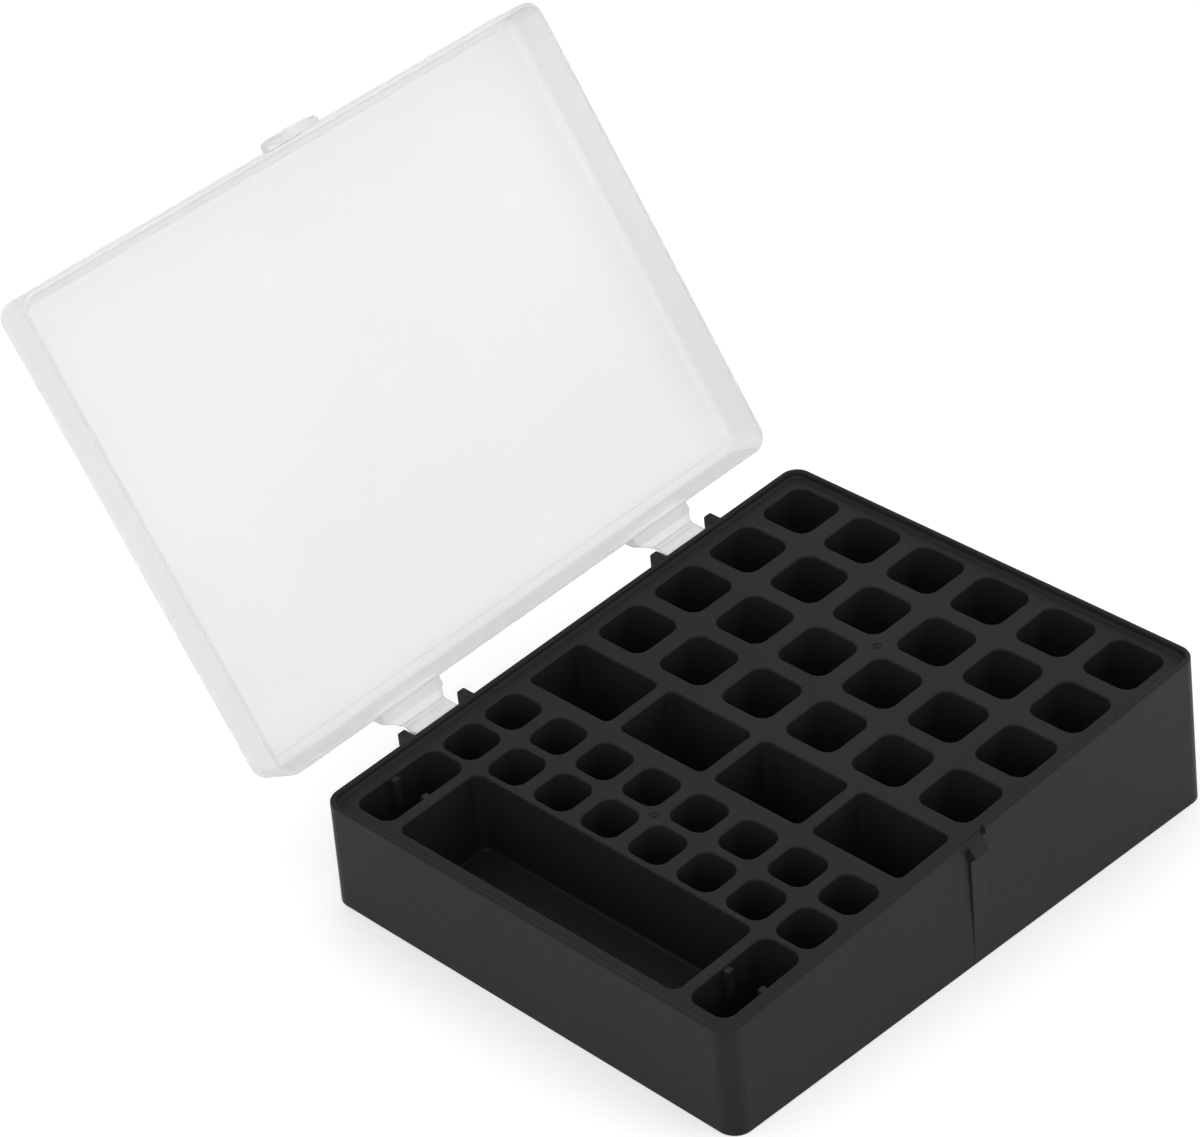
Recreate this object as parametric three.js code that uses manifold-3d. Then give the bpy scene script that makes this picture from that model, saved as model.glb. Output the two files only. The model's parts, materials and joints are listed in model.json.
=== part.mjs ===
// A battery storage case: a black wedge-shaped tray with wells for AA, AAA and 9 V cells, two corner
// slots and a long loose tray, under a translucent lid on two living hinges. The lid stands open.
// Lengths are in millimetres. The base is modelled in its rim frame, where the rim is the plane z = 0,
// x runs towards the deep AA end and y towards the hinges, and is then tipped to stand on its foot.
import * as THREE from 'three';
import { mergeVertices } from 'three/addons/utils/BufferGeometryUtils.js';
import Module from 'manifold-3d';

const wasm = await Module();
wasm.setup();

// Cells that the case holds
const aaWidth = 14.5;
const aaLength = 50.5;
const aaaWidth = 10.5;
const aaaLength = 44.5;
const nineVoltWidth = 17.5;
const nineVoltDepth = 26.5;
const nineVoltLength = 48.5;
const cellClearance = 1.5;
const headroom = 0.3;

// How many wells there are
const aaColumns = 4;
const aaRows = 6;
const aaaColumns = 2;
const aaaRows = 8;
const nineVoltRows = 4;

// Webs between the wells, seen on the deck, and the margins round them
const aaWeb = 5;
const aaToNineVoltWeb = 5.1;
const nineVoltWeb = 3.6;
const nineVoltToAaaWeb = 5.2;
const aaaWeb = 2.7;
const aaaToTrayWeb = 1.8;
const aaMargin = 4.8;
const trayMargin = 5.4;
const sideMargin = 5.5;

// Long tray and the two corner slots in line with it
const trayWidth = 27;
const trayRise = 4.4;
const slotDepth = 12.4;
const slotWeb = 3.1;
const nubWidth = 2.1;
const nubReach = 1.8;
const nubDrop = 0.6;
const nubHeight = 9;

// Corners of the wells, seen from above
const aaRadius = 3.5;
const aaaRadius = 3.4;
const nineVoltRadius = 2;
const trayRadius = 2.5;
const slotRadius = 3.4;
const wellArcSteps = 3;

// Base shell
const heightAtTray = 31.8;
const heightAtAa = 45.9;
const skirtWall = 1.5;
const cornerRadius = 4.9;
const cornerArcSteps = 5;
const deckRecess = 2;
const deckThickness = 1.6;
const wellWall = 1.2;
const wellFloor = 1.2;
const standGap = 0.35;
const flareShare = 0.025;
const seam = 0.3;
const overrun = 5;

// Front notch, the pad under it and the snap catch on the pad
const notchWidth = 8.3;
const padWidth = 5.1;
const catchTop = 2.3;
const catchApex = 4.6;
const catchBottom = 6.1;
const catchReach = 1.5;

// Lid shell
const openAngle = THREE.MathUtils.degToRad(122.8);
const lidWall = 1.2;
const lidPanel = 1.2;
const lidOverhangEnd = 1.8;
const lidOverhangSide = 0.4;
const lidEdgeRadius = 1.6;
const lidEdgeSteps = 3;
const lidDraftShare = 0.02;
const closedGap = 0.3;

// Hinge axis, the leaves clipped to the base and the flanges on the lid
const hingeSetback = 5.7;
const hingeDrop = 2;
const hingeSpacing = 91.9;
const hingeGap = 0.3;
const leafWidth = 14.5;
const leafThickness = 1.6;
const leafShelf = 1.3;
const leafLength = 14;
const leafNeck = 3.2;
const flangeWidth = 20.4;
const flangeHeight = 5.5;
const flangeLift = 0.5;
const flangeTip = 1.3;
const flangeShoulder = 1.6;
const flangeCurveSteps = 8;

// Ears that hold each leaf
const earPitch = 20.8;
const earThickness = 2;
const earReach = 4.1;
const earSlant = 0.8;
const earLength = 18;
const earFoot = 2.4;
const earLip = 1.8;

// Latch tongue on the front of the lid
const tongueWidth = 12;
const tongueRoot = 3.2;
const tongueReach = 2.9;
const tongueFlare = 0.6;
const tongueBow = 0.5;
const tongueRadius = 1.6;
const tongueArcSteps = 3;
const tongueBar = 1.8;
const windowClearance = 0.35;

// Colours and finish
const blackPlastic = { color: 0x2b2b2c, roughness: 0.5, metalness: 0 };
const clearPlastic = { color: 0xe9e8e5, roughness: 0.35, metalness: 0 };

// Sizes that follow from those above
const aaWell = aaWidth + cellClearance;
const aaaWell = aaaWidth + cellClearance;
const nineVoltWell = nineVoltWidth + cellClearance;
const nineVoltWellDepth = nineVoltDepth + cellClearance;
const bankDepth = nineVoltRows * nineVoltWellDepth + (nineVoltRows - 1) * nineVoltWeb;
const aaSpan = aaColumns * aaWell + (aaColumns - 1) * aaWeb;
const aaaSpan = aaaColumns * aaaWell + (aaaColumns - 1) * aaaWeb;
const rimWidth = aaMargin + aaSpan + aaToNineVoltWeb + nineVoltWell + nineVoltToAaaWeb
  + aaaSpan + aaaToTrayWeb + trayWidth + trayMargin;
const rimDepth = bankDepth + 2 * sideMargin;
const halfWidth = rimWidth / 2;
const halfDepth = rimDepth / 2;
const heightSlope = (heightAtAa - heightAtTray) / rimWidth;
const middleHeight = (heightAtAa + heightAtTray) / 2;
const tilt = Math.atan(heightSlope);

// Edges of each bank along x, worked out from the AA end
const aaEnd = halfWidth - aaMargin;
const aaStart = aaEnd - aaSpan;
const nineVoltEnd = aaStart - aaToNineVoltWeb;
const nineVoltStart = nineVoltEnd - nineVoltWell;
const aaaEnd = nineVoltStart - nineVoltToAaaWeb;
const aaaStart = aaaEnd - aaaSpan;
const trayEnd = aaaStart - aaaToTrayWeb;
const trayStart = trayEnd - trayWidth;
const trayLength = bankDepth - 2 * (slotDepth + slotWeb);

/** Height of the base, square to its rim, at a place along x. */
function heightAt(x) {
  return middleHeight + heightSlope * x;
}

/** Depth below the deck that a well can have whose shallow edge is at x. */
function wellDepthAt(x) {
  return heightAt(x) - deckRecess - wellFloor - standGap;
}

const aaDepth = wellDepthAt(aaStart);
const nineVoltWellDrop = wellDepthAt(nineVoltStart);
const aaaDepth = wellDepthAt(aaaStart);
const trayDepth = wellDepthAt(trayStart) - trayRise;

// The lid is as high as the cell that stands proudest of the deck
const proudest = Math.max(
  aaLength - aaDepth,
  nineVoltLength - nineVoltWellDrop,
  aaaLength - aaaDepth,
);
const lidHeight = proudest + headroom - deckRecess - closedGap + lidPanel;
const lidHalfWidth = halfWidth + lidOverhangEnd;
const lidHalfDepth = halfDepth + lidOverhangSide;
const hingeY = halfDepth + hingeSetback;
const padReach = flareShare * middleHeight;

/** A closed three.js geometry as a manifold-3d solid. */
function solid(geometry) {
  const bare = geometry.clone();
  bare.deleteAttribute('normal');
  bare.deleteAttribute('uv');
  const merged = mergeVertices(bare);
  return new wasm.Manifold(new wasm.Mesh({
    numProp: 3,
    vertProperties: new Float32Array(merged.attributes.position.array),
    triVerts: new Uint32Array(merged.index.array),
  }));
}

/** A named mesh of a manifold-3d solid. */
function mesh(name, body, finish) {
  const data = body.getMesh();
  const geometry = new THREE.BufferGeometry();
  geometry.setAttribute('position', new THREE.BufferAttribute(data.vertProperties, 3));
  geometry.setIndex(new THREE.BufferAttribute(data.triVerts, 1));
  geometry.computeVertexNormals();
  const piece = new THREE.Mesh(geometry, new THREE.MeshStandardMaterial(finish));
  piece.name = name;
  return piece;
}

/** Points round a rectangle with round corners, anticlockwise. */
function roundedPoints({ x0, x1, y0, y1 }, radius, arcSteps) {
  const centres = [[x1 - radius, y1 - radius], [x0 + radius, y1 - radius],
    [x0 + radius, y0 + radius], [x1 - radius, y0 + radius]];
  return centres.flatMap(([x, y], quarter) => {
    const points = [];
    for (let step = 0; step <= arcSteps; step += 1) {
      const angle = (quarter + step / arcSteps) * Math.PI / 2;
      points.push(new THREE.Vector2(x + radius * Math.cos(angle), y + radius * Math.sin(angle)));
    }
    return points;
  });
}

/** A rectangle centred on the origin. */
function centred(halfX, halfY) {
  return { x0: -halfX, x1: halfX, y0: -halfY, y1: halfY };
}

/** An upright prism of an outline between two heights. */
function upright(points, bottom, top) {
  const shape = new THREE.Shape(points);
  const geometry = new THREE.ExtrudeGeometry(shape, { depth: top - bottom, bevelEnabled: false });
  return solid(geometry.translate(0, 0, bottom));
}

/** A plain box between two heights. */
function box({ x0, x1, y0, y1 }, bottom, top) {
  const geometry = new THREE.BoxGeometry(x1 - x0, y1 - y0, top - bottom);
  return solid(geometry.translate((x0 + x1) / 2, (y0 + y1) / 2, (bottom + top) / 2));
}

/** A prism along x of a section given as [y, z] points. */
function alongX(section, width, centre) {
  const shape = new THREE.Shape(section.map(([y, z]) => new THREE.Vector2(y, z)));
  const geometry = new THREE.ExtrudeGeometry(shape, { depth: width, bevelEnabled: false });
  const turn = new THREE.Matrix4().makeBasis(
    new THREE.Vector3(0, 1, 0), new THREE.Vector3(0, 0, 1), new THREE.Vector3(1, 0, 0));
  return solid(geometry.applyMatrix4(turn).translate(centre - width / 2, 0, 0));
}

/** A solid through stacked levels of one outline, each level at z and moved outwards by grow. */
function loft(points, levels) {
  const steps = levels.length - 1;
  const shape = new THREE.Shape(points);
  const geometry = new THREE.ExtrudeGeometry(shape, { depth: 1, steps, bevelEnabled: false });
  const position = geometry.attributes.position;
  for (let i = 0; i < position.count; i += 1) {
    const level = levels[Math.round(position.getZ(i) * steps)];
    const x = position.getX(i);
    const y = position.getY(i);
    position.setXYZ(i, x + Math.sign(x) * level.grow, y + Math.sign(y) * level.grow, level.z);
  }
  return solid(geometry);
}

/** Everything below the surface that the base stands on. */
function ground() {
  const reach = rimWidth + rimDepth;
  const block = new THREE.BoxGeometry(reach, reach, reach).translate(0, 0, -reach / 2);
  block.rotateY(tilt);
  return solid(block.translate(0, 0, -middleHeight));
}

/** Y of the rear wall's outer face at a height below the rim. */
function rearFace(z) {
  return halfDepth - flareShare * z;
}

/** The outer wall with its lip, front notch, latch pad and snap catch. */
function makeSkirt() {
  const deepest = -heightAt(halfWidth) - overrun;
  const levels = [{ z: deepest, grow: -flareShare * deepest }, { z: 0, grow: 0 }];
  const outer = roundedPoints(centred(halfWidth, halfDepth), cornerRadius, cornerArcSteps);
  const innerRadius = cornerRadius - skirtWall;
  const innerBox = centred(halfWidth - skirtWall, halfDepth - skirtWall);
  const inner = roundedPoints(innerBox, innerRadius, cornerArcSteps);
  const above = [levels[0], { z: overrun, grow: -flareShare * overrun }];
  const notch = box({
    x0: -notchWidth / 2,
    x1: notchWidth / 2,
    y0: -halfDepth - overrun,
    y1: -halfDepth + skirtWall + seam,
  }, -deckRecess, overrun);
  const padFace = -halfDepth - padReach;
  const pad = box({
    x0: -padWidth / 2,
    x1: padWidth / 2,
    y0: padFace,
    y1: -halfDepth + skirtWall / 2,
  }, -middleHeight - overrun, -deckRecess);
  const snap = alongX([
    [-halfDepth + skirtWall / 2, -catchTop],
    [-halfDepth + skirtWall / 2, -catchBottom],
    [padFace, -catchBottom],
    [padFace - catchReach, -catchApex],
    [padFace, -catchTop],
  ], padWidth, 0);
  return loft(outer, levels).subtract(loft(inner, above)).subtract(notch)
    .add(pad).add(snap).subtract(ground());
}

/** Room inside the skirt's walls for the deck, less the seam round it. */
const deckBox = centred(halfWidth - skirtWall - seam, halfDepth - skirtWall - seam);

/** A piece of the deck with one well hanging from it. */
function makeCell(part, well, depth, radius) {
  const deckTop = -deckRecess;
  const floorTop = deckTop - depth;
  const limits = {
    x0: Math.max(part.x0, deckBox.x0),
    x1: Math.min(part.x1, deckBox.x1),
    y0: Math.max(part.y0, deckBox.y0),
    y1: Math.min(part.y1, deckBox.y1),
  };
  const plateCorners = roundedPoints(deckBox, cornerRadius - skirtWall, cornerArcSteps);
  const shell = {
    x0: Math.max(well.x0 - wellWall, limits.x0),
    x1: Math.min(well.x1 + wellWall, limits.x1),
    y0: Math.max(well.y0 - wellWall, limits.y0),
    y1: Math.min(well.y1 + wellWall, limits.y1),
  };
  const shellPoints = roundedPoints(shell, radius, wellArcSteps);
  return box(limits, deckTop - deckThickness, deckTop)
    .intersect(upright(plateCorners, deckTop - deckThickness, deckTop))
    .add(upright(shellPoints, floorTop - wellFloor, deckTop - deckThickness / 2))
    .subtract(upright(roundedPoints(well, radius, wellArcSteps), floorTop, overrun));
}

/** One mesh for each of a column's wells, in a slice of the deck that is cut between the wells. */
function makeCells(name, part, wells, depth, radius) {
  return wells.map((well, row) => {
    const before = wells[row - 1];
    const after = wells[row + 1];
    const y1 = before ? (before.y0 + well.y1) / 2 - seam / 2 : part.y1;
    const y0 = after ? (after.y1 + well.y0) / 2 + seam / 2 : part.y0;
    const cell = makeCell({ ...part, y0, y1 }, well, depth, radius);
    return mesh(`${name}_${row + 1}`, cell, blackPlastic);
  });
}

/** A column of equal wells that share bankDepth, with x0 and x1 as its sides. */
function columnWells(x0, x1, rows, wellDepth) {
  const pitch = rows > 1 ? (bankDepth - wellDepth) / (rows - 1) : 0;
  const wells = [];
  for (let row = 0; row < rows; row += 1) {
    const y1 = bankDepth / 2 - row * pitch;
    wells.push({ x0, x1, y0: y1 - wellDepth, y1 });
  }
  return wells;
}

/** A slice of the deck across the whole case, between two places along x, less half a seam each. */
function slice(x0, x1) {
  return { x0: x0 + seam / 2, x1: x1 - seam / 2, y0: -halfDepth, y1: halfDepth };
}

/** The AA wells, column by column from the deep end inwards. */
function makeAaWells() {
  const cells = [];
  for (let column = 0; column < aaColumns; column += 1) {
    const x1 = aaEnd - column * (aaWell + aaWeb);
    const x0 = x1 - aaWell;
    const left = column < aaColumns - 1 ? x0 - aaWeb / 2 : (aaStart + nineVoltEnd) / 2;
    const right = column > 0 ? x1 + aaWeb / 2 : halfWidth;
    const wells = columnWells(x0, x1, aaRows, aaWell);
    cells.push(...makeCells(`aa_well_${column + 1}`, slice(left, right), wells, aaDepth, aaRadius));
  }
  return cells;
}

/** The column of 9 V wells. */
function makeNineVoltWells() {
  const wells = columnWells(nineVoltStart, nineVoltEnd, nineVoltRows, nineVoltWellDepth);
  const part = slice((nineVoltStart + aaaEnd) / 2, (aaStart + nineVoltEnd) / 2);
  return makeCells('nine_volt_well', part, wells, nineVoltWellDrop, nineVoltRadius);
}

/** The AAA wells, column by column. */
function makeAaaWells() {
  const cells = [];
  for (let column = 0; column < aaaColumns; column += 1) {
    const x1 = aaaEnd - column * (aaaWell + aaaWeb);
    const x0 = x1 - aaaWell;
    const left = column < aaaColumns - 1 ? x0 - aaaWeb / 2 : (aaaStart + trayEnd) / 2;
    const right = column > 0 ? x1 + aaaWeb / 2 : (nineVoltStart + aaaEnd) / 2;
    const wells = columnWells(x0, x1, aaaRows, aaaWell);
    cells.push(...makeCells(`aaa_well_${column + 1}`, slice(left, right), wells, aaaDepth, aaaRadius));
  }
  return cells;
}

/** The part of the deck beyond the AAA wells, between two places along y. */
function trayCorner(y0, y1) {
  return { ...slice(-halfWidth, (aaaStart + trayEnd) / 2), y0, y1 };
}

/** The long loose tray. */
function makeTray() {
  const well = { x0: trayStart, x1: trayEnd, y0: -trayLength / 2, y1: trayLength / 2 };
  const reach = trayLength / 2 + (slotWeb - seam) / 2;
  const cell = makeCell(trayCorner(-reach, reach), well, trayDepth, trayRadius);
  return mesh('tray_well', cell, blackPlastic);
}

/** A corner slot with its two facing nubs; side is 1 at the hinges and -1 at the front. */
function makeSlot(name, side) {
  const pitch = (bankDepth - aaaWell) / 2;
  const middle = side * pitch;
  const well = { x0: trayStart, x1: trayEnd, y0: middle - slotDepth / 2, y1: middle + slotDepth / 2 };
  const inner = trayLength / 2 + (slotWeb + seam) / 2;
  const ends = [side * inner, side * halfDepth].sort((a, b) => a - b);
  let cell = makeCell(trayCorner(...ends), well, trayDepth, slotRadius);
  const nubTop = -deckRecess - nubDrop;
  for (const wall of [well.y0, well.y1]) {
    const inwards = Math.sign(middle - wall);
    const faces = [wall - inwards * wellWall / 2, wall + inwards * nubReach].sort((a, b) => a - b);
    const nub = { x0: -nubWidth / 2, x1: nubWidth / 2, y0: faces[0], y1: faces[1] };
    const at = (trayStart + trayEnd) / 2;
    cell = cell.add(box({ ...nub, x0: nub.x0 + at, x1: nub.x1 + at }, nubTop - nubHeight, nubTop));
  }
  return mesh(name, cell, blackPlastic);
}

/** An ear behind the rear wall, with a lip towards the leaf that it holds. */
function makeEar(name, centre, inwards) {
  const foot = -earLength;
  const back = halfDepth + earReach;
  const plate = alongX([
    [rearFace(0) + seam, 0],
    [back - earSlant, 0],
    [back, -earSlant],
    [back, foot + earFoot],
    [rearFace(foot) + seam, foot],
  ], earThickness, centre);
  const lipTop = -hingeDrop - leafNeck;
  const lipFace = rearFace(lipTop - leafLength) + seam + leafThickness + seam;
  const lipEdges = [centre, centre + inwards * (earThickness / 2 + earLip)].sort((a, b) => a - b);
  const lip = box({ x0: lipEdges[0], x1: lipEdges[1], y0: lipFace, y1: back },
    foot + earFoot, lipTop);
  return mesh(name, plate.add(lip), blackPlastic);
}

/** A leaf that slides down between two ears and carries the living hinge on its shelf. */
function makeLeaf(name, centre) {
  const top = -hingeDrop;
  const under = top - leafShelf;
  const neck = top - leafNeck;
  const foot = top - leafLength;
  const end = hingeY - hingeGap;
  const strip = alongX([
    [rearFace(top) + seam, top],
    [end, top],
    [end - leafShelf, under],
    [rearFace(under) + seam + leafThickness, under],
    [rearFace(foot) + seam + leafThickness, foot],
    [rearFace(foot) + seam, foot],
  ], leafWidth, centre);
  const wide = alongX([
    [rearFace(neck) + seam, neck],
    [rearFace(neck) + seam + leafThickness, neck],
    [rearFace(foot) + seam + leafThickness, foot],
    [rearFace(foot) + seam, foot],
  ], earPitch - earThickness - 2 * seam, centre);
  return mesh(name, strip.add(wide), clearPlastic);
}

/** The lid's five walls, in the place where they close the case. */
function makeLidShell() {
  const levels = [{ z: closedGap, grow: 0 }];
  const edgeZ = closedGap + lidHeight - lidEdgeRadius;
  for (let step = 0; step <= lidEdgeSteps; step += 1) {
    const angle = step / lidEdgeSteps * Math.PI / 2;
    const z = edgeZ + lidEdgeRadius * Math.sin(angle);
    const round = lidEdgeRadius * (1 - Math.cos(angle));
    levels.push({ z, grow: -lidDraftShare * (z - closedGap) - round });
  }
  const outer = roundedPoints(centred(lidHalfWidth, lidHalfDepth), cornerRadius, cornerArcSteps);
  const hollow = centred(lidHalfWidth - lidWall, lidHalfDepth - lidWall);
  const inner = roundedPoints(hollow, cornerRadius - lidWall, cornerArcSteps);
  const ceiling = closedGap + lidHeight - lidPanel;
  const below = -overrun;
  const space = loft(inner, [
    { z: below, grow: -lidDraftShare * (below - closedGap) },
    { z: ceiling, grow: -lidDraftShare * (ceiling - closedGap) },
  ]);
  return mesh('lid_shell', loft(outer, levels).subtract(space), clearPlastic);
}

/** A flared gusset that runs from the lid's rear wall over the ears and down to the living hinge. */
function makeFlange(name, centre) {
  const wall = lidHalfDepth + seam;
  const end = hingeY - hingeGap;
  const under = closedGap + flangeLift;
  const tip = -hingeDrop + hingeGap;
  const section = alongX([
    [wall, under],
    [halfDepth + earReach - earSlant, under],
    [end, tip],
    [end, tip + flangeTip],
    [wall, under + flangeHeight],
  ], flangeWidth, centre);
  const wide = flangeWidth / 2;
  const narrow = leafWidth / 2;
  const curveStart = wall + flangeShoulder;
  const side = [new THREE.Vector2(wide, wall - overrun)];
  for (let step = 0; step <= flangeCurveSteps; step += 1) {
    const turn = step / flangeCurveSteps;
    const ease = (1 - Math.cos(turn * Math.PI)) / 2;
    side.push(new THREE.Vector2(wide + (narrow - wide) * ease, curveStart + turn * (end - curveStart)));
  }
  side.push(new THREE.Vector2(narrow, end + overrun));
  const mirrored = side.map((point) => new THREE.Vector2(-point.x, point.y)).reverse();
  const plan = upright([...side, ...mirrored], -overrun, lidHeight + overrun);
  return mesh(name, section.intersect(plan.translate([centre, 0, 0])), clearPlastic);
}

/** The hasp on the front of the lid, whose window drops over the snap catch. */
function makeTongue() {
  const root = closedGap + tongueRoot;
  const tip = -catchBottom - windowClearance - tongueBar;
  const skin = -lidHalfDepth - seam;
  const padClear = -halfDepth - padReach - windowClearance;
  const face = -lidHalfDepth - tongueReach;
  const rim = closedGap + lidWall;
  const section = alongX([
    [skin, root],
    [face + tongueFlare, root],
    [face, rim],
    [face - tongueFlare, tip],
    [padClear, tip],
    [padClear, 0],
    [skin, closedGap],
  ], tongueWidth + 2 * overrun, 0);
  const half = tongueWidth / 2;
  const reach = face - tongueFlare;
  const plan = [new THREE.Vector2(half, skin + overrun), new THREE.Vector2(-half, skin + overrun)];
  for (const way of [-1, 1]) {
    const corner = [];
    for (let step = 0; step <= tongueArcSteps; step += 1) {
      const angle = step / tongueArcSteps * Math.PI / 2;
      corner.push(new THREE.Vector2(
        way * (half - tongueRadius + tongueRadius * Math.cos(angle)),
        reach + tongueBow + tongueRadius - tongueRadius * Math.sin(angle)));
    }
    plan.push(...(way < 0 ? corner : corner.reverse()));
    if (way < 0) plan.push(new THREE.Vector2(0, reach));
  }
  const windowHalf = padWidth / 2 + windowClearance;
  const window = box({ x0: -windowHalf, x1: windowHalf, y0: reach - overrun, y1: skin + overrun },
    tip + tongueBar, -catchTop + windowClearance);
  const tongue = section.intersect(upright(plan, tip - overrun, root + overrun)).subtract(window);
  return mesh('latch_tongue', tongue, clearPlastic);
}

// Base: the skirt, the deck cut into one cell for each well, the ears and the leaves
const base = new THREE.Group();
base.add(mesh('skirt', makeSkirt(), blackPlastic));
base.add(...makeAaWells(), ...makeNineVoltWells(), ...makeAaaWells(), makeTray());
base.add(makeSlot('slot_well_front', -1), makeSlot('slot_well_rear', 1));
for (const [place, way] of [['left', -1], ['right', 1]]) {
  const centre = way * hingeSpacing / 2;
  base.add(makeEar(`hinge_ear_${place}_a`, centre - earPitch / 2, 1));
  base.add(makeEar(`hinge_ear_${place}_b`, centre + earPitch / 2, -1));
  base.add(makeLeaf(`hinge_leaf_${place}`, centre));
}

// Lid: built where it closes the case, then swung open about the hinge axis
const lid = new THREE.Group();
lid.add(makeLidShell(), makeTongue());
lid.add(makeFlange('hinge_flange_left', -hingeSpacing / 2));
lid.add(makeFlange('hinge_flange_right', hingeSpacing / 2));
lid.position.set(0, -hingeY, hingeDrop);
const swing = new THREE.Group();
swing.add(lid);
swing.position.set(0, hingeY, -hingeDrop);
swing.rotation.x = -openAngle;

// The whole case tipped onto its foot, with the origin under the middle of its box
const tipped = new THREE.Group();
tipped.add(base, swing);
tipped.rotation.y = -tilt;
const group = new THREE.Group();
group.add(tipped);
group.updateMatrixWorld(true);
const reach = new THREE.Box3().setFromObject(group, true);
const middle = reach.getCenter(new THREE.Vector3());
tipped.position.set(-middle.x, -middle.y, middleHeight * Math.cos(tilt));

export default group;
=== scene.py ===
"""Battery storage case: black tray with wells for cells, and a milky hinged lid that stands open.

Shapes are written in millimetres in the frame of the tray's rim, whose top is at z = 0, and are placed by the
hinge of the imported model.
"""
import json
import math

import bmesh
import bpy
from mathutils import Matrix, Vector


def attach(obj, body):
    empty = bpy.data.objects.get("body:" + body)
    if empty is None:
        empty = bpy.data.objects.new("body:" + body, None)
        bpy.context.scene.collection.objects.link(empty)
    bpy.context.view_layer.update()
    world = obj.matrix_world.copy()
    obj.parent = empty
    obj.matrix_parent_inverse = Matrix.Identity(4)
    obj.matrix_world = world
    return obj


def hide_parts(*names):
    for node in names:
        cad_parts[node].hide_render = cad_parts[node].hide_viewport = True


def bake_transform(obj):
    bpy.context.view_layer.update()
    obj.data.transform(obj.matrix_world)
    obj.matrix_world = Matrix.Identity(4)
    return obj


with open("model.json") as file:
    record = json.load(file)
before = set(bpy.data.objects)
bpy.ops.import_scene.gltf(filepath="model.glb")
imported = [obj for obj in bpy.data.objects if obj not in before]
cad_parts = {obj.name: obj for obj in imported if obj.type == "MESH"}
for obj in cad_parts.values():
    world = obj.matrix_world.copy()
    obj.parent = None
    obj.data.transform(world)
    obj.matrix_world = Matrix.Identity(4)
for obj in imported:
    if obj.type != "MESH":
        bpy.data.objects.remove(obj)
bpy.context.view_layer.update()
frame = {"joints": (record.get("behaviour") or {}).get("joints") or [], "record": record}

MM = 0.001

# How far a cutter runs past what it cuts, and a hair's breadth that keeps two faces or two points apart
OVERRUN = 4.0
HAIR = 0.01

# Clean-up and shading of the meshes: distance of merged points, angles of sharp edges in degrees
MERGE = 0.002
SHARP_ANGLE = 42
FILM_SHARP_ANGLE = 50
NORMAL_WEIGHT = 80

# Steps of a round corner's quarter turn, in plan
ARC = 8
RIM_ARC = 10
SHELL_ARC = 5
STUB_ARC = 4

# Wall, rim and deck of the tray
HALF_WIDTH = 87.0
HALF_DEPTH = 66.9
RIM_RADIUS = 4.9
RIM_CROWN = 0.75
RIM_MOUTH = 0.7
WALL = 1.5
FLARE = 0.025
DECK = -2.0
DECK_THICKNESS = 1.6
DECK_FILLET = 0.9
HEIGHT_TRAY = 31.8
HEIGHT_AA = 45.9
SLOPE = (HEIGHT_AA - HEIGHT_TRAY) / (2 * HALF_WIDTH)
MIDDLE = (HEIGHT_AA + HEIGHT_TRAY) / 2
BOTTOM = -HEIGHT_AA - 2 * OVERRUN
OUTER = (-HALF_WIDTH, HALF_WIDTH, -HALF_DEPTH, HALF_DEPTH)
INNER = (-HALF_WIDTH + WALL, HALF_WIDTH - WALL, -HALF_DEPTH + WALL, HALF_DEPTH - WALL)

# Wells: sizes, places along x and corner radii. NINE_VOLT and TRAY hold their two places along x and their
# length along y.
BANK = 122.8
AA_SIZE = 16.0
AA_ROWS = 6
AA_RADIUS = 3.5
AA_COLUMNS = [82.2 - column * 21.0 for column in range(4)]
AAA_SIZE = 12.0
AAA_ROWS = 8
AAA_RADIUS = 3.4
AAA_COLUMNS = [-26.1 - column * 14.7 for column in range(2)]
NINE_VOLT = (-20.9, -1.9, 28.0)
NINE_VOLT_ROWS = 4
NINE_VOLT_RADIUS = 2.0
TRAY = (-81.6, -54.6, 91.8)
TRAY_RISE = 4.4
TRAY_RADIUS = 2.5
SLOT_DEPTH = 12.4
SLOT_PITCH = 55.4
SLOT_RADIUS = 3.4
STAND_GAP = 0.35

# Walls and roundings of the wells, and the lift that keeps their mouths off the deck's plane
WELL_WALL = 1.2
WELL_FILLET = 0.9
WELL_MOUTH = 0.5
WELL_LIFT = 0.001
SHELL_FILLET = 0.8

# Nubs in the corner slots
NUB_WIDTH = 2.1
NUB_REACH = 1.8
NUB_DROP = 0.6
NUB_HEIGHT = 9.0
NUB_BEVEL = 0.3

# Gate marks in the deck: a dimple with the stub of the sprue
GATES = ((-39.45, 0.0), (42.7, 0.0))
DIMPLE_RADIUS = 1.3
DIMPLE_DEPTH = 0.3
DIMPLE_FILLET = 0.2
DIMPLE_EDGE = 0.05
DIMPLE_RISE = 0.4
DIMPLE_FLARE = 0.35
STUB_RADIUS = 0.5
STUB_ROOT = 0.5
STUB_PROUD = 0.12
STUB_CROWN = 0.3

# Notch in the front rim, and the pad below it with its snap catch
NOTCH_HALF = 4.15
NOTCH_CHEEK = 0.45
NOTCH_PAST = 0.46
PAD_HALF = 2.55
PAD_BEVEL = 0.4
PAD_FACE = -HALF_DEPTH - FLARE * MIDDLE
CATCH_TOP = 2.3
CATCH_APEX = 4.6
CATCH_BOTTOM = 6.1
CATCH_REACH = 1.5

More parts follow.
